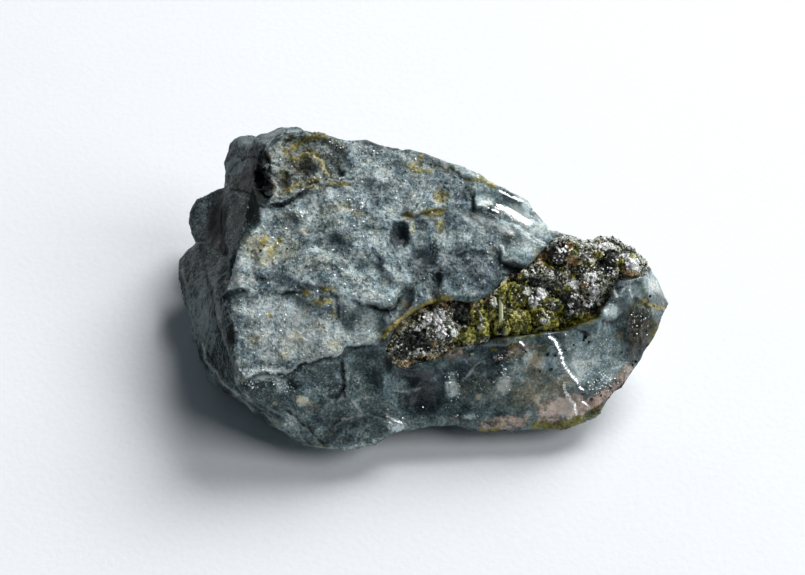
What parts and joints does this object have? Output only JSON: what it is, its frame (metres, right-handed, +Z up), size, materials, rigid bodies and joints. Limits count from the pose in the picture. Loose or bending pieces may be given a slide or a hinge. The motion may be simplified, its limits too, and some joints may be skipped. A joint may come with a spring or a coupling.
{
  "type": "jadeite stone",
  "caption": "Rough jadeite hand specimen: a broken blue-grey stone with a leaning sugary face and a band of olive, black and white crystals in a cleft across it.",
  "frame": {"origin": "middle of the bounding box, on the surface the stone lies on", "axes": "+Z up, +X along the stone's length, the broad face leans towards -Y"},
  "size_m": [0.0648, 0.0416, 0.0255],
  "materials": {
    "jadeite": "rough broken stone, sugary on the broad face and glassy where it chipped",
    "crystals": "glossy crystals, olive, black and white"
  },
  "bodies": {
    "root": {"stone": "jadeite", "crystal_crust": "crystals"}
  },
  "joints": []
}
